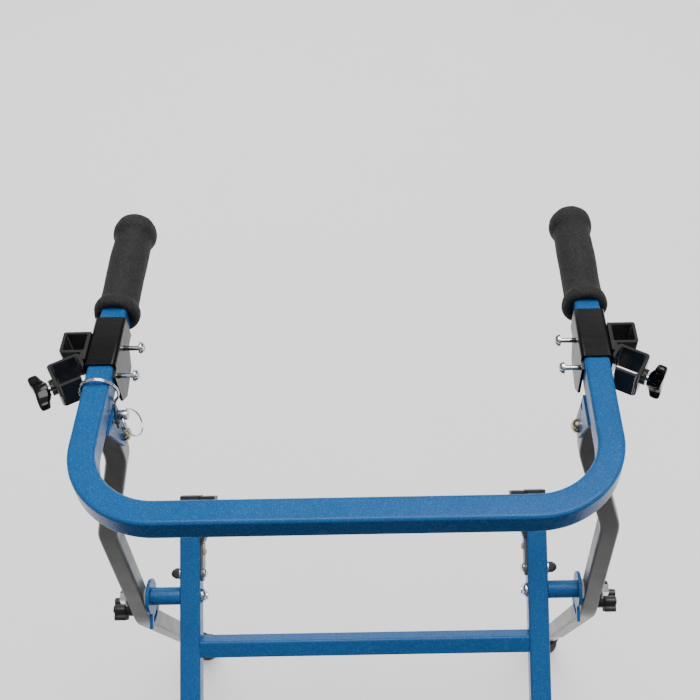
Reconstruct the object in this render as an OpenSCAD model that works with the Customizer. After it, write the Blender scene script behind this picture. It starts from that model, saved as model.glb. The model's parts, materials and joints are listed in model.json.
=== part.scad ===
// Folding front wheeled walker. A square-tube U handlebar with foam grips
// stands on two cranked uprights, which cross and pivot on a sloping front
// frame with swivel front wheels. Millimetres, +Z up, front is -Y.

/* [Handlebar] */
// Height of the top face of the handlebar above the floor
bar_h = 880; // [860:5:900]
// Distance between the centres of the two arms
arm_gap = 484; // [474:1:490]
// Width of the square handlebar tube
bar_w = 25.4; // [25:0.2:25.8]
// Centreline radius of the handlebar bends
bend_r = 75; // [65:1:80]
// Depth from the front of the crossbar to the ends of the arms
arm_len = 392; // [388:1:396]
// Wall thickness of the steel tubes
wall = 2; // [1.6:0.1:2.4]

/* [Grips] */
// Length of one foam grip
grip_len = 144; // [140:1:146]
// Radius of the grip along its middle
grip_r = 20; // [19:0.5:21]
// Radius of the collar and of the end bulb
bulb_r = 23.5; // [22:0.5:24]

/* [Uprights] */
// Width of the square upright tube
leg_w = 22; // [21:0.5:22]

/* [Front frame] */
// Width of the square front frame tube
front_w = 25.4; // [25:0.2:25.6]
// Distance between the centres of the two front legs
front_gap = 432; // [428:1:436]

/* [Front wheels] */
// Wheel radius
wheel_r = 60; // [58:0.5:61]
// Tyre width
tyre_w = 25; // [22:1:26]
// Distance that the wheel trails behind its swivel axis
trail = 30; // [26:1:32]

/* [Colours] */
// Paint of the handlebar and the front frame
blue = "#2b72ad"; // ["#2b72ad", "#9c2b2b", "#2f6d3a"]
// Paint of the uprights
grey = "#8a8a88"; // ["#8a8a88", "#666666"]

/* [Hidden] */
$fn = 48;

yo = 160;                 // crossbar front face to the origin, along Y
jog = 42;                 // sideways offset of the lower upright, a 7-24-25 crank
rear_lean = asin(0.352);  // rearward lean of the lower upright
front_slope = asin(0.6);  // slope of the front legs, a 3-4-5 triangle
ax = arm_gap / 2;         // arm centre
ux = ax + jog;            // lower upright centre
fx = front_gap / 2;       // front leg centre
zb = bar_h - bar_w / 2;   // arm centre height
p1y = 150 - yo;           // handlebar pivot
p1z = bar_h - 70;
uy = p1y;                 // upright centre
p2y = uy;                 // fold pivot
p2z = bar_h - 407;
gy0 = 256 - yo;           // front end of the grips
sy0 = 180 - yo;           // front end of the sleeves
sy1 = 243 - yo;
bend_z = p2z - 50;        // knee of the upright
jog_z1 = bar_h - 104;     // top of the jog
jog_z0 = jog_z1 - 144;    // bottom of the jog
jog_a = asin(0.28);
fs_l = 120;               // front leg length behind the fold pivot
cy = -50 - yo;            // swivel axis
knee_z = p2z - (p2y - cy) * 0.75;
fwd = (p2y - cy) / 0.8;
fr = 55;                  // front leg bend radius
ft = fr / 2;
fh0 = 180;                // lower end of the front leg tube
fork_top = 140;
rear_end = 150;           // height of the lower end of the rear leg tube
stop_r = 32;              // stud radius about the fold pivot
fold_a = 32;

// rounded square outline made of squares and circles
module rsq(w, r) {
  square([w, w - 2 * r], center = true);
  square([w - 2 * r, w], center = true);
  for (i = [-1, 1], j = [-1, 1]) translate([i * (w / 2 - r), j * (w / 2 - r)]) circle(r);
}
module tube2d(w, t, r) {
  difference() { rsq(w, r); rsq(w - 2 * t, max(r - t, 0.6)); }
}
module sides() { for (s = [-1, 1]) scale1(s) children(); }
module scale1(s) { if (s < 0) mirror([1, 0, 0]) children(); else children(); }
// cylinder along +X from x0 to x1
module xcyl(x0, x1, r, y, z) {
  translate([x0, y, z]) rotate([0, 90, 0]) cylinder(h = x1 - x0, r = r);
}

// ---- handlebar ----
module handlebar_tube() color(blue) {
  difference() {
    translate([0, -yo + bar_w / 2, zb]) union() {
      rotate([0, 90, 0]) linear_extrude(2 * (ax - bend_r), center = true) tube2d(bar_w, wall, 3.5);
      sides() {
        translate([ax - bend_r, bend_r, 0]) rotate([0, 0, -90]) rotate_extrude(angle = 90) translate([bend_r, 0]) tube2d(bar_w, wall, 3.5);
        translate([ax, bend_r, 0]) rotate([-90, 0, 0]) linear_extrude(arm_len - bend_r - bar_w / 2) tube2d(bar_w, wall, 3.5);
      }
    }
    sides() for (y = [214, 178]) xcyl(ax - 20, ax, 2.6, y - yo, zb);
  }
}
module grip() color("#2b2b2d") translate([ax, gy0, zb]) rotate([-90, 0, 0]) difference() {
  rotate_extrude() union() {
    translate([0, 3]) square([bulb_r, 11]);
    square([bulb_r - 3, 17]);
    translate([bulb_r - 3, 3]) circle(3);
    translate([bulb_r - 3, 14]) circle(3);
    square([grip_r, grip_len - 8]);
    intersection() {
      translate([0, grip_len - bulb_r * 0.9]) scale(1) circle(bulb_r);
      translate([0, grip_len - bulb_r * 1.6]) square([bulb_r, bulb_r * 1.6]);
    }
  }
  translate([0, 0, -1]) linear_extrude(arm_len + yo - yo - 256 + 1.2) rsq(bar_w, 3.5);
}
module left_grip() mirror([1, 0, 0]) grip();
module right_grip() grip();

// steel sleeve with a hanging inner plate
module sleeve() color("#111214") difference() {
  union() {
    translate([ax, sy0, zb]) rotate([-90, 0, 0]) linear_extrude(sy1 - sy0) difference() { rsq(bar_w + 5.6, 4); rsq(bar_w + 0.1, 3.5); }
    translate([ax - bar_w / 2 - 2.8, 0, bar_h]) rotate([90, 0, 90]) linear_extrude(2.6)
      polygon([[sy1 - 1, -4], [sy1 - 26, -46], [sy0 + 4, -52], [sy0 - 10, -42], [sy0 - 10, -6], [sy0 + 1, -4]]);
  }
  for (y = [214, 178]) xcyl(ax - 30, ax - 8, 3.1, y - yo, zb);
}
module left_sleeve() mirror([1, 0, 0]) sleeve();
module right_sleeve() sleeve();
module sleeve_screws() color("#c9ccd0") sides() for (y = [214, 178]) {
  xcyl(ax - 32, ax - 6, 2.5, y - yo, zb);
  difference() {
    union() {
      xcyl(ax - 33.5, ax - 31, 6, y - yo, zb);
      translate([ax - 33.5, y - yo, zb]) rotate([0, -90, 0]) cylinder(h = 2.2, r1 = 6, r2 = 4.2);
    }
    for (a = [0, 90]) translate([ax - 35.5, y - yo, zb]) rotate([a, 0, 0]) cube([3, 6.4, 1.1], center = true);
  }
}
// two vertical square sockets that share a wall
module socket_block() color("#0e0f11") difference() {
  union() {
    translate([ax + 29.6, 210.5 - yo, bar_h - 27]) linear_extrude(29) rsq(27, 2.5);
    translate([ax + 29.6, 174 - yo, bar_h - 27]) rotate([0, 0, -30]) linear_extrude(29) rsq(33, 4);
    translate([ax + 15.7, 188 - yo, bar_h - 27]) cube([6, 36, 29]);
    translate([ax + 29.6, 174 - yo, bar_h - 12.7]) rotate([0, 0, -30]) rotate([0, 90, 0]) cylinder(h = 21, r = 8);
  }
  translate([ax + 29.6, 210.5 - yo, bar_h - 30]) linear_extrude(40) rsq(21, 1.2);
  translate([ax + 29.6, 174 - yo, bar_h - 30]) rotate([0, 0, -30]) linear_extrude(40) rsq(27, 2.5);
  translate([ax - 15, 100 - yo, bar_h - 60]) cube([30.5, 200, 80]);
  translate([ax + 29.6, 174 - yo, bar_h - 12.7]) rotate([0, 0, -30]) rotate([0, 90, 0]) cylinder(h = 40, r = 3.05);
}
module left_socket_block() mirror([1, 0, 0]) socket_block();
module right_socket_block() socket_block();

// pivot bracket: two cheek plates welded under an arm
module bracket() color(blue) difference() {
  for (x = [ax - leg_w / 2 - 3.4, ax + leg_w / 2 + 0.4]) translate([x, 0, 0]) rotate([90, 0, 90]) linear_extrude(3) {
    polygon([[p1y - 34, bar_h - bar_w - 0.02], [p1y - 12, p1z - 2], [p1y + 12, p1z - 2], [p1y + 4, bar_h - bar_w - 0.02]]);
    translate([p1y, p1z]) circle(12.4);
  }
  xcyl(ax - 40, ax + 40, 4.06, p1y, p1z);
  xcyl(ax - 40, ax + 40, 3.56, p1y, p1z + 31);
}
module left_pivot_bracket() mirror([1, 0, 0]) bracket();
module right_pivot_bracket() bracket();
module bar_pivot_bolts() color("#c2b48c") sides() {
  xcyl(ax - 17, ax + 18, 4, p1y, p1z);
  xcyl(ax - 17, ax - 14.4, 7.5, p1y, p1z);
  translate([ax - 17, p1y, p1z]) rotate([0, -90, 0]) intersection() { translate([0, 0, -4]) sphere(8.5); cylinder(h = 8, r = 7); }
}
module bar_pivot_nuts() color("#c9ccd0") sides() difference() {
  union() {
    xcyl(ax + 14.5, ax + 15.9, 8, p1y, p1z);
    translate([ax + 15.9, p1y, p1z]) rotate([0, 90, 0]) cylinder(h = 5, r = 7, $fn = 6);
  }
  xcyl(ax + 10, ax + 30, 4, p1y, p1z);
}
// locking pin through the left bracket, above the end of the upright
module release_pin() color("#9fa3a6") {
  difference() {
    union() {
      xcyl(-ax - 17, -ax + 15.6, 3.5, p1y, p1z + 31);
      xcyl(-ax + 14.8, -ax + 24, 5, p1y, p1z + 31);
    }
    translate([-ax + 19.4, p1y, p1z + 31]) rotate([90, 0, 0]) cylinder(h = 20, r = 2.6, center = true);
  }
}
module ring_shape(r, w) rotate_extrude() translate([r, 0]) circle(w);
module pin_ring() color("#b9bcc0") translate([-ax + 19.4, p1y, p1z + 31]) rotate([0, 60, 0]) translate([14, 0, 0]) ring_shape(14, 0.9);
module split_ring() color("#c9ccd0") translate([-ax, sy0 - 22, zb]) rotate([90, 0, 0]) {
  translate([0, 0, -0.9]) ring_shape(18.6, 0.9);
  translate([0, 0, 0.9]) ring_shape(18.6, 0.9);
}
// thin coated cable from the split ring to the pin
function bez(t, a, b, c) = a * (1 - t) * (1 - t) + 2 * t * (1 - t) * b + t * t * c;
function tq(t) = bez(t, [-ax + 17.3, sy0 - 22, bar_h - 21.7], [-ax + 13.5, sy0 - 34, bar_h - 14], [-ax + 18, sy0 - 47, bar_h - 38]);
module pin_tether() color("#141414") {
  n = 14; m = 8;
  pts = [for (i = [0:n]) let (p = tq(i / n), q = tq(i / n + 0.01) - tq(i / n - 0.01),
    d = q / norm(q), a = cross(d, [1, 0, 0]), e = a / norm(a), f = cross(d, e))
    for (k = [0:m - 1]) p + 1.1 * (e * cos(k * 360 / m) + f * sin(k * 360 / m))];
  polyhedron(pts, concat([[for (k = [0:m - 1]) k]], [[for (k = [m - 1:-1:0]) n * m + k]],
    [for (i = [0:n - 1], k = [0:m - 1]) [i * m + k, (i + 1) * m + k, (i + 1) * m + (k + 1) % m, i * m + (k + 1) % m]]));
}
// wing knob and its stud in the outer wall of the angled socket
module knob_place() translate([ax + 29.6, 174 - yo, bar_h - 12.7]) rotate([0, 0, -30]) children();
module stud() color("#b9bcc0") knob_place() xcyl(14.2, 35, 3, 0, 0);
module wing(a) color("#151517") knob_place() rotate([a, 0, 0]) difference() {
  union() {
    xcyl(22.5, 37, 8, 0, 0);
    for (s = [-1, 1]) translate([29, 0, 0]) rotate([0, 0, 0]) rotate([90, 0, 90]) linear_extrude(9)
      polygon([[s * 5, -5], [s * 20, -3.5], [s * 22.5, 0], [s * 20, 3.5], [s * 5, 5]]);
  }
  xcyl(20, 35, 3.05, 0, 0);
}
module left_knob_stud() mirror([1, 0, 0]) stud();
module right_knob_stud() stud();
module left_wing_knob() mirror([1, 0, 0]) wing(0);
module right_wing_knob() wing(90);

// ---- uprights ----
module seg(len) {
  linear_extrude(len) upright2d();
  translate([0, 0, len]) children();
}
module upright2d() tube2d(leg_w, 1.6, 3);
// a bend towards local +X, with what follows placed at its end
module bend(r, a) {
  translate([r, 0, 0]) {
    rotate([90, 0, 0]) rotate([0, 0, 180 - a]) rotate_extrude(angle = a) translate([r, 0]) children(0);
    rotate([0, a, 0]) translate([-r, 0, 0]) children(1);
  }
}
// bent tube: sideways jog, then a knee that leans rearward
module upright() color(grey) {
  jl = 150;  // sloping length of the crank
  jt = 10;   // tangent length of its bends
  kt = 14;   // tangent length of the knee
  low = (bend_z - rear_end) / cos(rear_lean);
  difference() {
    translate([ax, uy, p1z + 22]) rotate([180, 0, 0]) seg(p1z + 22 - jog_z1 - jt)
      bend(70, jog_a) {
        upright2d();
        seg(jl - 2 * jt) rotate([0, 0, 180]) bend(70, jog_a) {
          upright2d();
          rotate([0, 0, 180]) seg(jog_z0 - jt - bend_z - kt) rotate([0, 0, -90]) bend(77, rear_lean) {
            upright2d();
            linear_extrude(low - kt) upright2d();
          }
        }
      }
    xcyl(ax - 30, ax + 30, 4.06, p1y, p1z);
    xcyl(ux - 30, ux + 30, 5.06, p2y, p2z);
    xcyl(ux - 30, ux + 30, 3.3, p2y, p2z - stop_r);
    translate([ux, uy, bend_z]) rotate([180 + rear_lean, 0, 0]) translate([0, 0, low - 30]) rotate([0, 90, 0]) cylinder(h = 20, r = 3.6);
  }
}
module left_upright() mirror([1, 0, 0]) upright();
module right_upright() upright();
module rear_place() translate([ux, uy, bend_z]) rotate([180 + rear_lean, 0, 0]) translate([0, 0, (bend_z - rear_end) / cos(rear_lean)]) children();
rear_foot = (rear_end - 34) / cos(rear_lean);
// inner tube with a slot for the button
module rear_extension() color("#a9abad") rear_place() difference() {
  translate([0, 0, -130]) linear_extrude(130 + rear_foot) tube2d(leg_w - 3.8, 1.6, 2);
  translate([0, -3.7, -84]) cube([20, 7.4, 58]);
}
module left_rear_extension() mirror([1, 0, 0]) rear_extension();
module right_rear_extension() rear_extension();
// rubber tip, flat on the floor
module rear_tip() color("#1d1d1e") difference() {
  union() {
    intersection() {
      rear_place() translate([0, 0, rear_foot - 34]) cylinder(h = 60, r = 16);
      translate([0, 0, 100]) cube([900, 900, 200], center = true);
    }
    tip_at() { cylinder(h = 12, r = 21); translate([0, 0, 12]) cylinder(h = 10, r1 = 21, r2 = 15); }
  }
  rear_place() translate([0, 0, rear_foot - 60]) linear_extrude(60) rsq(leg_w - 3.8, 2);
}
module tip_at() translate([ux, uy + (bend_z - 14) * tan(rear_lean), 0]) children();
module left_rear_tip() mirror([1, 0, 0]) rear_tip();
module right_rear_tip() rear_tip();
module rear_button() color("#d0d2d4") rear_place() translate([0, 0, -30]) rotate([0, 90, 0]) {
  translate([0, 0, 3]) cylinder(h = 7.4, r = 3.2);
  translate([0, 0, 10.4]) intersection() { translate([0, 0, -1.2]) sphere(3.4); cylinder(h = 3, r = 3.2); }
}
module left_rear_button() mirror([1, 0, 0]) rear_button();
module right_rear_button() rear_button();
// clamping knob whose stud rides in the slot of the sector plate
module fold_knob() color("#151517") {
  difference() {
    union() {
      xcyl(ux + leg_w / 2 + 0.5, ux + leg_w / 2 + 8, 9, p2y, p2z - stop_r);
      xcyl(ux + leg_w / 2 + 8, ux + leg_w / 2 + 22, 11, p2y, p2z - stop_r);
      for (a = [0:60:300]) translate([0, p2y, p2z - stop_r]) rotate([a, 0, 0]) translate([ux + leg_w / 2 + 8, 11, 0]) rotate([0, 90, 0]) cylinder(h = 14, r = 4.5);
    }
    for (a = [0:60:300]) translate([0, p2y, p2z - stop_r]) rotate([a + 30, 0, 0]) translate([ux + leg_w / 2 + 7, 15, 0]) rotate([0, 90, 0]) cylinder(h = 16, r = 2.5);
  }
  xcyl(ux - 19, ux + leg_w / 2 + 2, 3.2, p2y, p2z - stop_r);
}
module left_fold_knob() mirror([1, 0, 0]) fold_knob();
module right_fold_knob() fold_knob();

// ---- front frame ----
module front2d() tube2d(front_w, wall, 3.5);
module front_leg() color(blue) difference() {
  leg_place(fs_l) rotate([180, 0, 0]) {
    linear_extrude(fs_l + fwd - ft) front2d();
    translate([0, 0, fs_l + fwd - ft]) rotate([0, 0, -90]) bend(fr, 90 - front_slope) {
      front2d();
      linear_extrude(knee_z - ft - fh0) front2d();
    }
  }
  xcyl(fx - 30, fx + 30, 5.06, p2y, p2z);
  xcyl(fx - 30, fx + 30, 3.06, b1y, b1z);
  xcyl(fx - 30, fx, 2.56, rl(54)[0], rl(54)[1]);
  translate([fx, cy, fh0 + 22]) rotate([0, 90, 0]) cylinder(h = 20, r = 3.6);
}
b1y = p2y + 22; b1z = p2z + 22 * tan(front_slope);
module left_front_leg() mirror([1, 0, 0]) front_leg();
module right_front_leg() front_leg();
module cross_tube(y) color(blue) translate([0, y, p2z - (p2y - y) * tan(front_slope)]) rotate([-front_slope, 0, 0]) rotate([0, 90, 0]) linear_extrude(2 * fx - front_w, center = true) tube2d(22, 1.8, 3);
module upper_cross_tube() cross_tube(100 - yo);
module lower_cross_tube() cross_tube(0 - yo);
module leg_place(l) translate([fx, p2y, p2z]) rotate([-90 + front_slope, 0, 0]) translate([0, 0, l]) children();
module leg_end_plugs() color("#111111") sides() leg_place(fs_l) {
  linear_extrude(4) rsq(front_w, 3.5);
  translate([0, 0, -14]) linear_extrude(14.5) rsq(front_w - 2 * wall - 0.2, 1.4);
}
// plastic receiver wedge on the inner face of each front leg
module side_receivers() color("#141414") sides() leg_place(0) difference() {
  rotate([90, 0, 0]) linear_extrude(22, center = true) polygon([[-12.9, 65], [-16, 65], [-31, 112], [-31, 123], [-12.9, 123]]);
  translate([-23, 0, 96]) linear_extrude(40) rsq(11, 2);
}
function rl(l) = [p2y + l * cos(front_slope), p2z + l * sin(front_slope)];
module receiver_rivets() color("#b7a98a") sides() {
  xcyl(fx - front_w / 2 - 4, fx - front_w / 2 + 3, 2.5, rl(54)[0], rl(54)[1]);
  translate([fx - front_w / 2 - 3.15, rl(54)[0], rl(54)[1]]) rotate([0, -90, 0]) cylinder(h = 2.6, r1 = 5, r2 = 3);
}
// flat steel strap from the receiver down to its bolt
module side_straps() color(grey) sides() difference() {
  union() {
    leg_place(28) translate([-front_w / 2 - 3.1, -9, 0]) cube([3, 18, 36]);
    xcyl(fx - front_w / 2 - 3.1, fx - front_w / 2 - 0.1, 9.8, b1y, b1z);
  }
  xcyl(fx - 30, fx + 30, 3.06, b1y, b1z);
  xcyl(fx - 30, fx, 2.56, rl(54)[0], rl(54)[1]);
}
module strap_bolts() color("#c9ccd0") sides() {
  xcyl(fx - front_w / 2 - 4, fx + front_w / 2 + 8, 3, b1y, b1z);
  translate([fx - front_w / 2 - 3.2, b1y, b1z]) rotate([0, -90, 0]) intersection() { translate([0, 0, -3]) sphere(7.6); cylinder(h = 6, r = 6.6); }
  difference() { xcyl(fx + front_w / 2 + 0.05, fx + front_w / 2 + 1.6, 8, b1y, b1z); xcyl(fx, fx + 40, 2.9, b1y, b1z); }
}
module strap_nuts() color("#101010") sides() difference() {
  union() {
    translate([fx + front_w / 2 + 1.7, b1y, b1z]) rotate([0, 90, 0]) cylinder(h = 6, r = 6.6, $fn = 6);
    translate([fx + front_w / 2 + 7, b1y, b1z]) rotate([0, 90, 0]) intersection() { sphere(5.6); cylinder(h = 8, r = 5.6); }
  }
  xcyl(fx, fx + front_w / 2 + 8.4, 3, b1y, b1z);
}
// slotted sector plate that guides the folding stud
module wedge2d(r, a0, a1) polygon(concat([[0, 0]], [for (i = [0:4]) let (a = a0 + (a1 - a0) * i / 4) [r * cos(a), r * sin(a)]]));
module sector_plates() color(blue) sides() translate([ux - 19, p2y, p2z]) rotate([90, 0, 90]) difference() {
  union() {
    linear_extrude(4) difference() {
      union() {
        circle(22);
        intersection() { circle(stop_r + 9); wedge2d(60, -90 - fold_a - 18, -72); }
      }
      intersection() {
        difference() { circle(stop_r + 3.7); circle(stop_r - 3.7); }
        wedge2d(60, -90 - fold_a, -90);
      }
      for (a = [-90, -90 - fold_a]) rotate([0, 0, a]) translate([stop_r, 0]) circle(3.72);
    }
    translate([0, 0, -(ux - 19 - fx - front_w / 2)]) cylinder(h = ux - 19 - fx - front_w / 2 + 1, r = 11);
  }
  translate([0, 0, -100]) cylinder(h = 200, r = 5.06);
}
module fold_pivot_bolts() color("#c9ccd0") sides() {
  xcyl(fx - front_w / 2 - 8, ux + leg_w / 2 + 8, 5, p2y, p2z);
  translate([fx - front_w / 2 - 0.1, p2y, p2z]) rotate([0, -90, 0]) intersection() { translate([0, 0, -3]) sphere(10.5); cylinder(h = 8, r = 9); }
  translate([ux + leg_w / 2 + 1.8, p2y, p2z]) rotate([0, 90, 0]) cylinder(h = 7, r = 9, $fn = 6);
}
module pivot_spacers() color("#e3e3df") sides() {
  difference() { xcyl(ux - 14.9, ux - leg_w / 2 - 0.1, 12, p2y, p2z); xcyl(ux - 30, ux + 30, 5.06, p2y, p2z); }
  difference() { xcyl(ux + leg_w / 2 + 0.1, ux + leg_w / 2 + 1.7, 12, p2y, p2z); xcyl(ux - 30, ux + 30, 5.06, p2y, p2z); }
}

// ---- front legs' lower ends ----
module front_extension() color("#a9abad") difference() {
  union() {
    translate([fx, cy, fork_top + 20]) linear_extrude(104) tube2d(front_w - 2 * wall - 0.6, 1.8, 1.8);
    translate([fx, cy, fork_top + 2]) cylinder(h = 24, r = 16);
  }
  translate([fx, cy, 0]) cylinder(h = fork_top + 22, r = 5.06);
  translate([fx, cy - 3.7, fh0 + 18]) cube([20, 7.4, 58]);
}
module left_front_extension() mirror([1, 0, 0]) front_extension();
module right_front_extension() front_extension();
module front_button() color("#d0d2d4") translate([fx, cy, fh0 + 22]) rotate([0, 90, 0]) {
  translate([0, 0, 3]) cylinder(h = 8.9, r = 3.2);
  translate([0, 0, 11.9]) intersection() { translate([0, 0, -1.2]) sphere(3.4); cylinder(h = 3, r = 3.2); }
}
module left_front_button() mirror([1, 0, 0]) front_button();
module right_front_button() front_button();
module caster_fork() color("#1a1b1d") translate([fx, cy, 0]) difference() {
  union() {
    translate([0, 0, fork_top - 8]) cylinder(h = 28, r = 5);
    translate([0, 0, fork_top - 8]) cylinder(h = 9, r = 17);
    translate([-20, -16, fork_top - 11]) cube([40, 52, 7]);
    for (x = [-20, 16]) translate([x, 0, 0]) rotate([90, 0, 90]) linear_extrude(4) {
      polygon([[-16, fork_top - 5], [trail + 6, fork_top - 5], [trail + 11, wheel_r], [trail - 11, wheel_r]]);
      translate([trail, wheel_r]) circle(11);
    }
  }
  translate([-50, trail, wheel_r]) rotate([0, 90, 0]) cylinder(h = 100, r = 4.02);
}
module left_caster_fork() mirror([1, 0, 0]) caster_fork();
module right_caster_fork() caster_fork();
module wheel_axle() color("#c9ccd0") translate([fx, cy + trail, wheel_r]) rotate([0, 90, 0]) {
  translate([0, 0, -24]) cylinder(h = 48, r = 4);
  translate([0, 0, -26]) cylinder(h = 5.9, r = 7);
  translate([0, 0, 20.1]) cylinder(h = 5.9, r = 7.5, $fn = 6);
}
module left_wheel_axle() mirror([1, 0, 0]) wheel_axle();
module right_wheel_axle() wheel_axle();
module wheel_place() translate([fx, cy + trail, wheel_r]) rotate([0, 90, 0]) children();
module tyre() color("#3a3b3d") wheel_place() rotate_extrude($fn = 96) difference() {
  union() {
    translate([wheel_r - 14, -tyre_w / 2 + 1]) square([10, tyre_w - 2]);
    translate([wheel_r - 6, -tyre_w / 2 + 6]) square([6, tyre_w - 12]);
    translate([wheel_r - 6, -tyre_w / 2 + 6]) circle(5.6);
    translate([wheel_r - 6, tyre_w / 2 - 6]) circle(5.6);
  }
  translate([wheel_r - 18, -3]) square([7, 6]);
}
module left_tyre() mirror([1, 0, 0]) tyre();
module right_tyre() tyre();
module wheel_hub() color("#8d9093") wheel_place() difference() {
  union() {
    rotate_extrude($fn = 96) {
      translate([4.06, -14]) square([9, 28]);
      translate([36, -10]) square([wheel_r - 14.05 - 36, 20]);
      translate([wheel_r - 15, -2.9]) square([3.9, 5.8]);
    }
    for (a = [0:60:300]) rotate([0, 0, a]) translate([10, -3.5, -8]) cube([29, 7, 16]);
    cylinder(h = 4, r = 40, center = true);
  }
  cylinder(h = 60, r = 4.06, center = true);
}
module left_wheel_hub() mirror([1, 0, 0]) wheel_hub();
module right_wheel_hub() wheel_hub();

// ---- drawing ----
handlebar_tube();
left_grip();
right_grip();
left_sleeve();
right_sleeve();
sleeve_screws();
left_socket_block();
right_socket_block();
left_pivot_bracket();
right_pivot_bracket();
bar_pivot_bolts();
bar_pivot_nuts();
split_ring();
pin_tether();
release_pin();
pin_ring();
left_knob_stud();
right_knob_stud();
left_wing_knob();
right_wing_knob();
left_upright();
right_upright();
left_rear_extension();
right_rear_extension();
left_rear_tip();
right_rear_tip();
left_rear_button();
right_rear_button();
left_fold_knob();
right_fold_knob();
left_front_leg();
right_front_leg();
upper_cross_tube();
lower_cross_tube();
leg_end_plugs();
side_receivers();
receiver_rivets();
side_straps();
strap_bolts();
strap_nuts();
sector_plates();
fold_pivot_bolts();
pivot_spacers();
left_front_extension();
right_front_extension();
left_front_button();
right_front_button();
left_caster_fork();
right_caster_fork();
left_wheel_axle();
right_wheel_axle();
left_tyre();
right_tyre();
left_wheel_hub();
right_wheel_hub();
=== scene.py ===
import bpy, bmesh, math, json
from mathutils import Vector, Matrix


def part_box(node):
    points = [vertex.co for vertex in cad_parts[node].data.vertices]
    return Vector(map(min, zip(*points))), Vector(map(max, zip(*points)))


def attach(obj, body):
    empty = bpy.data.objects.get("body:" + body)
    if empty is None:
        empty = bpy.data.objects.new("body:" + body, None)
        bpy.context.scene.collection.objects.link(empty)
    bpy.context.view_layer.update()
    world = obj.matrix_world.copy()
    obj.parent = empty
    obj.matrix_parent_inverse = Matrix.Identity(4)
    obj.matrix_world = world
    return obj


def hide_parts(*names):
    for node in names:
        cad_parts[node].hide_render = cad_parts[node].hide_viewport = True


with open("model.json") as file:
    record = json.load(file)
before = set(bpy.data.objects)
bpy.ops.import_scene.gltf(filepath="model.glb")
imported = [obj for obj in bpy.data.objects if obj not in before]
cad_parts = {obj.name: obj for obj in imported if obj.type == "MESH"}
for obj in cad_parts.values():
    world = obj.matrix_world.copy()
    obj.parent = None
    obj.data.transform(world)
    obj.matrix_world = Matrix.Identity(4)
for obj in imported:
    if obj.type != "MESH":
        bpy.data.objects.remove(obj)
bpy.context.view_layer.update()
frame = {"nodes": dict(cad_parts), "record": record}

N = frame["nodes"]

# ---------------------------------------------------------------- camera
# Perspective solved on the handlebar's tube; Z of its top face, Y of its front face.
TOP, Y0 = 0.880, -0.160
CAM = dict(x=0.0519, y=-0.4736, z=0.7560, pitch=48.557, yaw=0.09, roll=1.10, f=1027.4, sx=50.5, sy=0.0)
cam_d = bpy.data.cameras.new("cam")
cam = bpy.data.objects.new("cam", cam_d)
bpy.context.scene.collection.objects.link(cam)
cam_d.sensor_fit = "HORIZONTAL"
cam_d.sensor_width = 36.0
cam_d.lens = CAM["f"] / 700 * 36.0
cam_d.shift_x = -CAM["sx"] / 700
cam_d.shift_y = CAM["sy"] / 700
cam_d.clip_start, cam_d.clip_end = 0.02, 60
cam.location = (CAM["x"], Y0 + CAM["y"], TOP + CAM["z"])
base = Matrix.Rotation(math.radians(CAM["yaw"]), 4, "Z") @ Matrix.Rotation(math.radians(90 - CAM["pitch"]), 4, "X")
cam.matrix_world = Matrix.Translation(cam.location) @ base @ Matrix.Rotation(math.radians(-CAM["roll"]), 4, "Z")
bpy.context.scene.camera = cam

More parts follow.
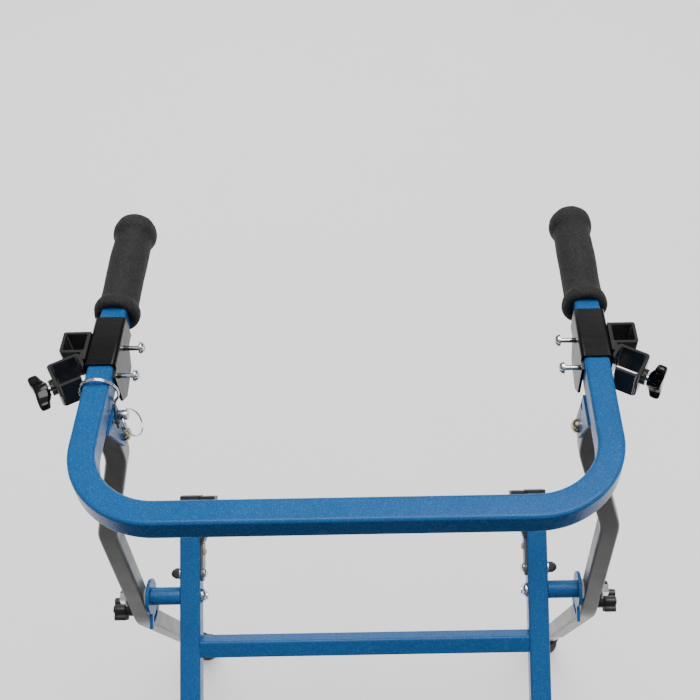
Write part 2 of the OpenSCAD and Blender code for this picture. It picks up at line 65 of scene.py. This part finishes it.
# ---------------------------------------------------------------- node helpers
class NT:
    def __init__(self, name):
        self.m = bpy.data.materials.new(name)
        self.m.use_nodes = True
        self.t = self.m.node_tree
        self.b = self.t.nodes["Principled BSDF"]
        self.tc = self.t.nodes.new("ShaderNodeTexCoord")
        self.co = self.tc.outputs["Object"]

    def n(self, kind, **kw):
        x = self.t.nodes.new(kind)
        for k, v in kw.items():
            setattr(x, k, v)
        return x

    def link(self, a, b):
        self.t.links.new(a, b)

    def noise(self, scale, detail=2.0, rough=0.5, stretch=None, dist=0.0):
        co = self.co
        if stretch:
            mp = self.n("ShaderNodeMapping")
            mp.inputs["Scale"].default_value = stretch
            self.link(co, mp.inputs["Vector"])
            co = mp.outputs["Vector"]
        x = self.n("ShaderNodeTexNoise")
        x.inputs["Scale"].default_value = scale
        x.inputs["Detail"].default_value = detail
        x.inputs["Roughness"].default_value = rough
        x.inputs["Distortion"].default_value = dist
        self.link(co, x.inputs["Vector"])
        return x.outputs["Fac"]

    def voro(self, scale, out="Distance", rand=1.0):
        x = self.n("ShaderNodeTexVoronoi")
        x.inputs["Scale"].default_value = scale
        x.inputs["Randomness"].default_value = rand
        self.link(self.co, x.inputs["Vector"])
        return x.outputs[out]

    def rng(self, src, a, b, c, d):
        x = self.n("ShaderNodeMapRange")
        x.inputs["From Min"].default_value = a
        x.inputs["From Max"].default_value = b
        x.inputs["To Min"].default_value = c
        x.inputs["To Max"].default_value = d
        self.link(src, x.inputs["Value"])
        return x.outputs["Result"]

    def ramp(self, src, stops):
        x = self.n("ShaderNodeValToRGB")
        r = x.color_ramp
        while len(r.elements) < len(stops):
            r.elements.new(0.5)
        for e, (p, c) in zip(r.elements, stops):
            e.position = p
            e.color = (c[0], c[1], c[2], 1)
        self.link(src, x.inputs["Fac"])
        return x.outputs["Color"]

    def mix(self, fac, a, b, mode="MIX"):
        x = self.n("ShaderNodeMix", data_type="RGBA", blend_type=mode)
        if isinstance(fac, (int, float)):
            x.inputs["Factor"].default_value = fac
        else:
            self.link(fac, x.inputs["Factor"])
        for i, v in (("A", a), ("B", b)):
            s = [q for q in x.inputs if q.name == i and q.type == "RGBA"][0]
            if isinstance(v, tuple):
                s.default_value = (v[0], v[1], v[2], 1)
            else:
                self.link(v, s)
        return [q for q in x.outputs if q.type == "RGBA"][0]

    def mul(self, a, b):
        x = self.n("ShaderNodeMath", operation="MULTIPLY")
        for i, v in enumerate((a, b)):
            if isinstance(v, (int, float)):
                x.inputs[i].default_value = v
            else:
                self.link(v, x.inputs[i])
        return x.outputs[0]

    def add(self, a, b):
        x = self.n("ShaderNodeMath", operation="ADD")
        for i, v in enumerate((a, b)):
            if isinstance(v, (int, float)):
                x.inputs[i].default_value = v
            else:
                self.link(v, x.inputs[i])
        return x.outputs[0]

    def edge(self, lo=0.52, hi=0.62):
        g = self.n("ShaderNodeNewGeometry")
        return self.rng(g.outputs["Pointiness"], lo, hi, 0.0, 1.0)

    def bump(self, src, strength=0.3, dist=0.0004, prev=None):
        x = self.n("ShaderNodeBump")
        x.inputs["Strength"].default_value = strength
        x.inputs["Distance"].default_value = dist
        self.link(src, x.inputs["Height"])
        if prev is not None:
            self.link(prev, x.inputs["Normal"])
        return x.outputs["Normal"]

    def out(self, color=None, rough=None, normal=None, **const):
        if color is not None:
            if isinstance(color, tuple):
                self.b.inputs["Base Color"].default_value = (*color, 1)
            else:
                self.link(color, self.b.inputs["Base Color"])
        if rough is not None:
            if isinstance(rough, (int, float)):
                self.b.inputs["Roughness"].default_value = rough
            else:
                self.link(rough, self.b.inputs["Roughness"])
        if normal is not None:
            self.link(normal, self.b.inputs["Normal"])
        for k, v in const.items():
            self.b.inputs[k.replace("_", " ")].default_value = v
        return self.m


def paint_blue():
    t = NT("blue_flake_paint")
    cloud = t.noise(9, 3)
    base = t.ramp(cloud, [(0.3, (0.009, 0.074, 0.245)), (0.7, (0.013, 0.094, 0.290))])
    flake = t.voro(2200, "Color")
    sp = t.n("ShaderNodeSeparateColor")
    t.link(flake, sp.inputs["Color"])
    # flake mask: the flakes are a real pattern, but lifting them toward a bright blue is a painted glint (painted
    # highlight)
    flake_glint = t.rng(sp.outputs["Red"], 0.80, 1.0, 0.0, 1.0)
    deep = t.rng(sp.outputs["Green"], 0.0, 0.25, 0.55, 0.0)
    c = t.mix(deep, base, (0.002, 0.022, 0.130))
    # painted glint: masked flakes mixed toward a bright lit blue
    c = t.mix(t.mul(flake_glint, 0.62), c, (0.07, 0.29, 0.52))
    fine = t.noise(900, 2)
    c = t.mix(t.rng(fine, 0.35, 0.7, 0.0, 0.22), c, (0.020, 0.14, 0.34))
    # lighter blue on convex edges in noise patches: partly edge wear, partly a painted edge highlight
    edge_wear_and_highlight = t.mul(t.edge(0.56, 0.7), t.rng(t.noise(220, 3), 0.55, 0.7, 0.0, 0.35))
    c = t.mix(edge_wear_and_highlight, c, (0.08, 0.24, 0.42))
    rough = t.add(t.rng(t.noise(40, 4), 0.3, 0.7, 0.22, 0.32), t.mul(flake_glint, 0.08))
    nb = t.bump(t.noise(160, 2), 0.10, 0.0003)
    nb = t.bump(fine, 0.06, 0.00008, nb)
    return t.out(c, rough, nb, Metallic=0.0, Coat_Weight=0.05, Coat_Roughness=0.10, Specular_IOR_Level=0.14)


def paint_grey():
    t = NT("silver_grey_paint")
    base = t.ramp(t.noise(12, 3), [(0.3, (0.105, 0.105, 0.102)), (0.7, (0.145, 0.145, 0.141))])
    c = t.mix(t.rng(t.noise(1400, 1), 0.5, 0.75, 0.0, 0.40), base, (0.18, 0.18, 0.175))
    # painted edge highlight: convex edges lifted toward a light grey
    c = t.mix(t.mul(t.edge(0.56, 0.7), 0.3), c, (0.5, 0.5, 0.48))
    rough = t.rng(t.noise(60, 4), 0.3, 0.7, 0.30, 0.42)
    nb = t.bump(t.noise(300, 3), 0.10, 0.0002)
    return t.out(c, rough, nb, Metallic=0.45, Coat_Weight=0.10, Coat_Roughness=0.2, Specular_IOR_Level=0.3)


def foam():
    t = NT("foam_grain")
    big = t.noise(55, 4, 0.6)
    base = t.ramp(big, [(0.3, (0.006, 0.006, 0.0065)), (0.75, (0.014, 0.014, 0.015))])
    grain = t.noise(520, 5, 0.75)
    c = t.mix(t.rng(grain, 0.47, 0.66, 0.0, 0.80), base, (0.046, 0.046, 0.049))
    pits = t.voro(1100)
    rough = t.rng(grain, 0.3, 0.7, 0.62, 0.82)
    nb = t.bump(grain, 0.75, 0.0010)
    nb = t.bump(pits, 0.35, 0.0004, nb)
    return t.out(c, rough, nb, Specular_IOR_Level=0.3)


def black_paint(name, lo, hi, r0, r1, coat, scale=260, bs=0.12):
    t = NT(name)
    c = t.ramp(t.noise(20, 4), [(0.3, lo), (0.7, hi)])
    # painted edge highlight: convex edges lifted toward a dark grey
    c = t.mix(t.mul(t.edge(0.56, 0.72), 0.25), c, (0.09, 0.09, 0.095))
    sc = t.noise(30, 6, 0.7, (1, 8, 1))
    rough = t.rng(sc, 0.3, 0.7, r0, r1)
    nb = t.bump(t.noise(scale, 3), bs, 0.0003)
    return t.out(c, rough, nb, Coat_Weight=coat, Coat_Roughness=0.08, Specular_IOR_Level=0.22)


def metal(name, lo, hi, r0, r1, stretch=(1, 1, 1), scale=120):
    t = NT(name)
    s = t.noise(scale, 5, 0.65, stretch)
    c = t.ramp(s, [(0.3, lo), (0.7, hi)])
    c = t.mix(t.rng(t.noise(18, 4), 0.55, 0.8, 0.0, 0.35), c, tuple(v * 0.55 for v in lo))
    rough = t.rng(s, 0.3, 0.7, r0, r1)
    nb = t.bump(s, 0.08, 0.0001)
    return t.out(c, rough, nb, Metallic=1.0)


def rubber(name, lo, hi, grit=0.25):
    t = NT(name)
    c = t.ramp(t.noise(30, 5, 0.6), [(0.3, lo), (0.7, hi)])
    dust = t.rng(t.noise(70, 5, 0.7), 0.5, 0.8, 0.0, grit)
    c = t.mix(dust, c, (0.14, 0.135, 0.125))
    rough = t.rng(t.noise(140, 4), 0.3, 0.7, 0.55, 0.78)
    nb = t.bump(t.noise(500, 4), 0.3, 0.0004)
    return t.out(c, rough, nb, Specular_IOR_Level=0.35)


def plastic(name, lo, hi, r0=0.38, r1=0.52, bs=0.2):
    t = NT(name)
    c = t.ramp(t.noise(25, 4), [(0.3, lo), (0.7, hi)])
    # painted edge highlight: convex edges lifted toward a lighter tone
    c = t.mix(t.mul(t.edge(0.56, 0.72), 0.2), c, tuple(min(1, v * 1.8 + 0.03) for v in hi))
    rough = t.rng(t.noise(90, 5), 0.3, 0.7, r0, r1)
    nb = t.bump(t.voro(900), bs, 0.0002)
    return t.out(c, rough, nb)


MAT = {
    "blue_paint": paint_blue(),
    "grey_paint": paint_grey(),
    "foam": foam(),
    "black_steel": black_paint("black_steel", (0.0016, 0.0018, 0.002), (0.004, 0.0042, 0.0046), 0.24, 0.36, 0.0),
    "black_plastic": black_paint("gloss_black_plastic", (0.0015, 0.0015, 0.0018), (0.003, 0.003, 0.0034), 0.12, 0.22, 0.30, 90, 0.10),
    "matte_black": plastic("matte_black_plastic", (0.010, 0.010, 0.010), (0.020, 0.020, 0.021)),
    "chrome": metal("bright_chrome", (0.62, 0.63, 0.66), (0.80, 0.81, 0.83), 0.07, 0.16),
    "brassy": metal("yellow_zinc", (0.42, 0.35, 0.22), (0.60, 0.53, 0.38), 0.16, 0.30),
    "beige": plastic("beige_rivet", (0.33, 0.27, 0.19), (0.45, 0.38, 0.28)),
    "tube_steel": metal("drawn_tube_steel", (0.42, 0.43, 0.44), (0.60, 0.61, 0.62), 0.20, 0.36, (6, 6, 0.5), 90),
    "rubber": rubber("tip_rubber", (0.012, 0.012, 0.012), (0.026, 0.026, 0.027)),
    "tyre": rubber("tyre_rubber", (0.035, 0.036, 0.038), (0.060, 0.060, 0.062), 0.45),
    "grey_plastic": plastic("grey_hub_plastic", (0.13, 0.135, 0.14), (0.19, 0.195, 0.20)),
    "white_plastic": plastic("nylon", (0.55, 0.55, 0.52), (0.68, 0.68, 0.65), 0.4, 0.55, 0.1),
    "cable": black_paint("coated_cable", (0.006, 0.006, 0.006), (0.014, 0.014, 0.014), 0.25, 0.4, 0.4),
}
SLOT = {s["node"]: s["material_slot"] for s in frame["record"]["subparts"]}


def paint(o, m):
    if not o.material_slots:
        o.data.materials.append(m)
    for s in o.material_slots:
        s.material = m


for name, o in N.items():
    paint(o, MAT[SLOT[name]])


# ---------------------------------------------------------------- mesh helpers
def link(name, verts, faces, slot, body, smooth=True, sub=0, bevel=None):
    me = bpy.data.meshes.new(name)
    me.from_pydata([tuple(v) for v in verts], [], faces)
    me.validate()
    bm = bmesh.new(); bm.from_mesh(me)
    bmesh.ops.remove_doubles(bm, verts=bm.verts, dist=1e-6)
    bmesh.ops.recalc_face_normals(bm, faces=bm.faces)
    bm.to_mesh(me); bm.free()
    o = bpy.data.objects.new(name, me)
    bpy.context.scene.collection.objects.link(o)
    for p in me.polygons:
        p.use_smooth = smooth
    if bevel:
        b = o.modifiers.new("bevel", "BEVEL"); b.width = bevel; b.segments = 3; b.limit_method = "ANGLE"; b.angle_limit = math.radians(35)
        b.harden_normals = True
    if sub:
        m = o.modifiers.new("sub", "SUBSURF"); m.levels = sub; m.render_levels = sub
    o.data.materials.append(MAT[slot])
    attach(o, body)
    return o


def revolve(profile, n, place, rad=None):
    """Closed revolved surface. profile: (r, h) pairs, first and last on the axis or forming a loop."""
    vs, fs = [], []
    k = len(profile)
    for j in range(n):
        a = 2 * math.pi * j / n
        for i, (r, h) in enumerate(profile):
            rr = r if rad is None else rad(r, h, a, i)
            vs.append(place @ Vector((rr * math.cos(a), rr * math.sin(a), h)))
    for j in range(n):
        j2 = (j + 1) % n
        for i in range(k):
            i2 = (i + 1) % k
            fs.append((j * k + i, j2 * k + i, j2 * k + i2, j * k + i2))
    return vs, fs


# ---------------------------------------------------------------- foam grips
def smooth_profile(pts, steps=6):
    """Catmull-Rom through (r, h) points."""
    out = []
    for i in range(len(pts) - 1):
        p0 = pts[max(i - 1, 0)]; p1 = pts[i]; p2 = pts[i + 1]; p3 = pts[min(i + 2, len(pts) - 1)]
        for s in range(steps):
            t = s / steps
            out.append(tuple(0.5 * ((2 * b) + (-a + c) * t + (2 * a - 5 * b + 4 * c - d) * t * t + (-a + 3 * b - 3 * c + d) * t ** 3)
                             for a, b, c, d in zip(p0, p1, p2, p3)))
    out.append(pts[-1])
    return out


def hsh(*v):
    x = math.sin(sum(a * b for a, b in zip(v, (12.9898, 78.233, 37.719)))) * 43758.5453
    return x - math.floor(x)


def grip(side, sg):
    lo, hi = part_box(f"{side}_grip")
    L = hi[1] - lo[1]
    cx = (lo[0] + hi[0]) / 2; cz = (lo[2] + hi[2]) / 2
    out = smooth_profile([
        (.0150, .0016), (.0190, .0002), (.0224, .0022), (.0236, .0068), (.0233, .0112), (.0216, .0146), (.0203, .0180),
        (.0197, .0260), (.0196, .0400), (.0199, .0600), (.0202, .0800), (.0201, .0950), (.0199, .1060), (.0200, .1130),
        (.0210, .1175), (.0226, .1210), (.0235, .1255), (.0233, .1310), (.0216, .1372), (.0180, .1416), (.0120, .1437), (.0055, .1442), (.0006, .1443)], 5)
    sc = L / .1443
    prof = [(r, h * sc) for r, h in out]
    n = 96
    place = Matrix.Translation((cx, lo[1], cz)) @ Matrix.Rotation(math.radians(-90), 4, "X")

    def rad(r, h, a, i):
        w = 0.00022 * math.sin(3 * a + 40 * h) + 0.00016 * math.sin(5 * a - 63 * h + 1.3) + 0.0001 * math.sin(9 * a + 150 * h)
        return max(r + w * min(1, r / .015), 0.0002)
    vs, fs = [], []
    k = len(prof)
    for j in range(n):
        a = 2 * math.pi * j / n
        for i, (r, h) in enumerate(prof):
            rr = rad(r, h, a, i)
            vs.append(place @ Vector((rr * math.cos(a), rr * math.sin(a), h)))
    for j in range(n):
        j2 = (j + 1) % n
        for i in range(k - 1):
            fs.append((j * k + i, j2 * k + i, j2 * k + i + 1, j * k + i + 1))
    # end cap, and the square mouth that the tube enters
    fs.append(tuple(j * k + k - 1 for j in range(n)))
    b0 = len(vs)
    half = .0127
    def sq(a):
        c, s = abs(math.cos(a)), abs(math.sin(a))
        rr = half / max(c, s)
        return min(rr, half * 1.30) + .00012
    for ring, dep in ((0, .0022), (1, .014)):
        for j in range(n):
            a = 2 * math.pi * j / n
            rr = sq(a)
            vs.append(place @ Vector((rr * math.cos(a), rr * math.sin(a), dep)))
    for j in range(n):
        j2 = (j + 1) % n
        fs.append((j * k, b0 + j, b0 + j2, j2 * k))
        fs.append((b0 + j, b0 + n + j, b0 + n + j2, b0 + j2))
    fs.append(tuple(b0 + n + j for j in range(n)))
    o = link(f"foam_grip_{side}", vs, fs, "foam", "handlebar", sub=1)
    tex = bpy.data.textures.new(f"foam_{side}", "CLOUDS"); tex.noise_scale = 0.0035; tex.noise_depth = 2
    d = o.modifiers.new("grain", "DISPLACE"); d.texture = tex; d.strength = 0.0005; d.mid_level = 0.5; d.texture_coords = "LOCAL"
    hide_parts(f"{side}_grip")
    return o


for side, sg in (("left", -1), ("right", 1)):
    grip(side, sg)

# ---------------------------------------------------------------- wing knobs
def sstep(x, a, b):
    t = min(1, max(0, (x - a) / (b - a)))
    return t * t * (3 - 2 * t)


def wing_knob(side, sg, turn):
    ex = Vector((sg * math.cos(math.radians(30)), -math.sin(math.radians(30)), 0))
    ez = Matrix.Rotation(math.radians(turn), 4, ex) @ Vector((0, 0, 1))
    ey = ez.cross(ex)
    org = Vector((sg * .2716, .014, .8673))

    def at(x, y, z):
        return org + (ex * x + ey * y + ez * z) * .001
    vs, fs = [], []
    ns, nr = 44, 28
    for i in range(ns + 1):
        u = -22.3 + 44.6 * i / ns
        a = abs(u)
        end = math.sqrt(max(0.0, 1 - max(0, (a - 17.5) / 4.85) ** 2))
        lo_ = 23.0 + 3.4 * sstep(a, 6, 20)
        hi_ = 36.6 + 1.6 * sstep(a, 3, 15)
        mid = (lo_ + hi_) / 2
        hx = (hi_ - lo_) / 2 * (0.35 + 0.65 * end) * (1 - 0.10 * sstep(a, 5, 16))
        hz = (6.4 - 2.3 * sstep(a, 3, 12) + 0.6 * sstep(a, 12, 20)) * (0.3 + 0.7 * end)
        for j in range(nr):
            b = 2 * math.pi * j / nr
            c_, s_ = math.cos(b), math.sin(b)
            vs.append(at(mid + hx * math.copysign(abs(c_) ** .5, c_), u, hz * math.copysign(abs(s_) ** .5, s_)))
    for i in range(ns):
        for j in range(nr):
            j2 = (j + 1) % nr
            fs.append((i * nr + j, i * nr + j2, (i + 1) * nr + j2, (i + 1) * nr + j))
    fs.append(tuple(range(nr)))
    fs.append(tuple(ns * nr + j for j in range(nr)))
    b0 = len(vs)
    prof = [(3.1, 22.5), (6.6, 22.5), (7.3, 22.9), (7.6, 23.8), (7.4, 28), (7.0, 31), (6.2, 34.6), (5.2, 35.6), (3.1, 35.8)]
    n = 40
    for j in range(n):
        b = 2 * math.pi * j / n
        for r, h in prof:
            vs.append(at(h, r * math.cos(b), r * math.sin(b)))
    k = len(prof)
    for j in range(n):
        j2 = (j + 1) % n
        for i in range(k):
            i2 = (i + 1) % k
            fs.append((b0 + j * k + i, b0 + j2 * k + i, b0 + j2 * k + i2, b0 + j * k + i2))
    o = link(f"wing_knob_{side}", vs, fs, "black_plastic", f"{side}_wing")
    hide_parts(f"{side}_wing_knob")
    return o


wing_knob("left", -1, 0)
wing_knob("right", 1, 90)

# ---------------------------------------------------------------- softened edges on the CAD nodes
def soften(node, width, segs=3, angle=34):
    o = N[node]
    w = o.modifiers.new("weld", "WELD"); w.merge_threshold = 0.000004
    b = o.modifiers.new("edge", "BEVEL"); b.width = width; b.segments = segs
    b.limit_method = "ANGLE"; b.angle_limit = math.radians(angle)
    b.use_clamp_overlap = True; b.harden_normals = True


for nm, wd in (("left_socket_block", .0009), ("right_socket_block", .0009), 
               ("left_fold_knob", .0008), ("right_fold_knob", .0008), ("left_pivot_bracket", .0006), ("right_pivot_bracket", .0006),
               ("left_sleeve", .0005), ("right_sleeve", .0005), ("side_receivers", .0008), ("leg_end_plugs", .0010), ("side_straps", .0004),
               ("left_caster_fork", .0008), ("right_caster_fork", .0008), ("left_wheel_hub", .0008), ("right_wheel_hub", .0008),
               ("sector_plates", .0005), ("left_rear_tip", .0012), ("right_rear_tip", .0012), ("fold_pivot_bolts", .0005),
               ("strap_bolts", .0004), ("bar_pivot_nuts", .0005), ("sleeve_screws", .00025), ("release_pin", .0005),
               ("left_front_extension", .0004), ("right_front_extension", .0004)):
    soften(nm, wd)

# ---------------------------------------------------------------- bead on the tether
lo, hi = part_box("pin_tether")
bx = Vector(((lo[0] * .35 + hi[0] * .65), lo[1] + .004, lo[2] + .006))
pl = Matrix.Translation(bx) @ Matrix.Rotation(math.radians(30), 4, "X")
pr = [(0.0001, -.0042), (.0012, -.0042), (.0021, -.0036), (.0025, -.0020), (.0026, 0), (.0025, .0020), (.0021, .0036), (.0012, .0042), (.0001, .0042)]
vs, fs = revolve(pr, 24, pl)
link("tether_bead", vs, fs, "matte_black", "handlebar", sub=1)

# ---------------------------------------------------------------- floor and light
def plane(name, z, s, col, rough):
    me = bpy.data.meshes.new(name)
    me.from_pydata([(-s, -s, z), (s, -s, z), (s, s, z), (-s, s, z)], [], [(0, 1, 2, 3)])
    o = bpy.data.objects.new(name, me)
    bpy.context.scene.collection.objects.link(o)
    t = NT(name + "_mat")
    c = t.ramp(t.noise(3, 3), [(0.3, tuple(v * 0.985 for v in col)), (0.7, col)])
    me.materials.append(t.out(c, rough))
    return o


plane("floor", -0.0004, 14, (0.94, 0.94, 0.94), 0.85)
me = bpy.data.meshes.new("dark_card")
me.from_pydata([(-3, -4, .03), (3, -4, .03), (3, -.34, .03), (-3, -.34, .03)], [], [(0, 1, 2, 3)])
card = bpy.data.objects.new("dark_card", me); bpy.context.scene.collection.objects.link(card)
tk = NT("dark_card_mat")
me.materials.append(tk.out((0.01, 0.01, 0.011), 0.9))
card.visible_camera = False; card.visible_shadow = False
w = bpy.data.worlds.new("world"); bpy.context.scene.world = w
w.use_nodes = True
wt = w.node_tree
tcw = wt.nodes.new("ShaderNodeTexCoord"); sep = wt.nodes.new("ShaderNodeSeparateXYZ"); rw = wt.nodes.new("ShaderNodeValToRGB")
wt.links.new(tcw.outputs["Generated"], sep.inputs[0]); wt.links.new(sep.outputs["Z"], rw.inputs["Fac"])
rw.color_ramp.elements[0].position = 0.12; rw.color_ramp.elements[0].color = (0.08, 0.08, 0.085, 1)
rw.color_ramp.elements[1].position = 0.75; rw.color_ramp.elements[1].color = (1, 1, 1, 1)
wt.links.new(rw.outputs["Color"], wt.nodes["Background"].inputs["Color"])
wt.nodes["Background"].inputs["Strength"].default_value = 0.55


def area(name, loc, target, size, energy, col=(1, 1, 1)):
    d = bpy.data.lights.new(name, "AREA"); d.shape = "RECTANGLE"; d.size = size[0]; d.size_y = size[1]; d.energy = energy; d.color = col
    o = bpy.data.objects.new(name, d); bpy.context.scene.collection.objects.link(o)
    o.location = loc
    o.rotation_euler = (Vector(target) - Vector(loc)).to_track_quat("-Z", "Y").to_euler()
    return o


sn = bpy.data.lights.new("overhead", "SUN"); sn.energy = 3.6; sn.angle = math.radians(50)
so = bpy.data.objects.new("overhead", sn); bpy.context.scene.collection.objects.link(so)
so.rotation_euler = (math.radians(-6), math.radians(8), 0)
area("front", (-1.8, -1.5, 1.9), (0, 0, 0.8), (0.5, 1.2), 1.5)
area("side", (2.2, -0.3, 1.8), (0, 0, 0.7), (0.5, 1.2), 4)
area("back", (-0.4, 2.3, 1.6), (0, 0, 0.6), (1.4, 0.5), 9)
